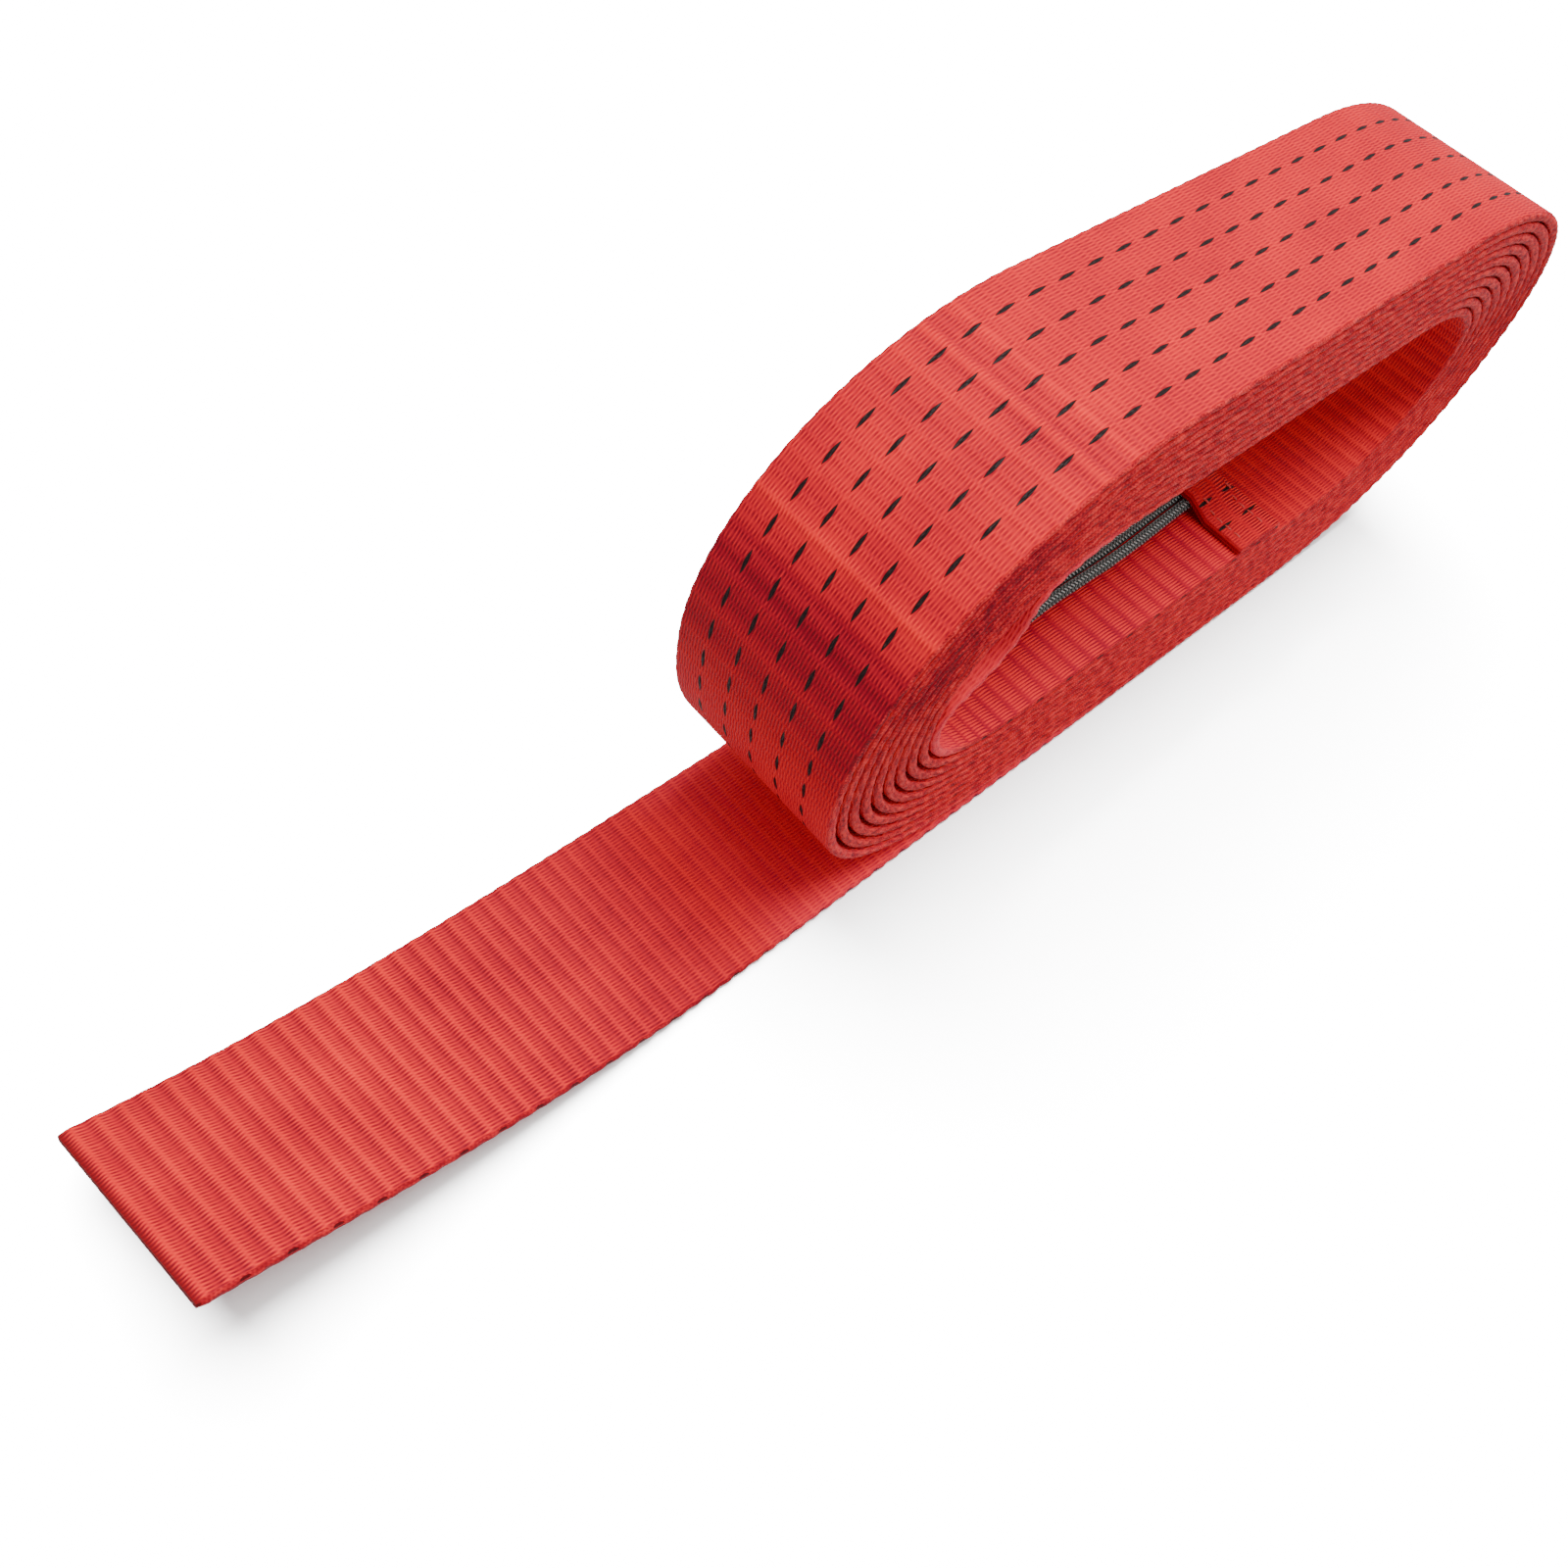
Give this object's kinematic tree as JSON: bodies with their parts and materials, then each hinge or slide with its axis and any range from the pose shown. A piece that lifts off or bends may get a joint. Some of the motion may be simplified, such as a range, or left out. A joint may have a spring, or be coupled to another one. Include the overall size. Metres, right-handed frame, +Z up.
{
  "type": "tow strap",
  "caption": "Long flat webbing tow strap wound into a flattened coil on its own tail, with a doubled tie cord lying in the coil's hollow.",
  "frame": {"origin": "centre of the strap's footprint, on the surface it lies on", "axes": "+X along the strap from the tail's free end towards the coil, +Y across the strap's width, +Z up"},
  "size_m": [0.4122, 0.0524, 0.1226],
  "materials": {
    "red_webbing": "woven polyester webbing with cross ribs and black dashes",
    "grey_braid": "round braid with light flecks"
  },
  "bodies": {
    "root": {"strap": "red_webbing", "tie_cord": "grey_braid"}
  },
  "joints": []
}
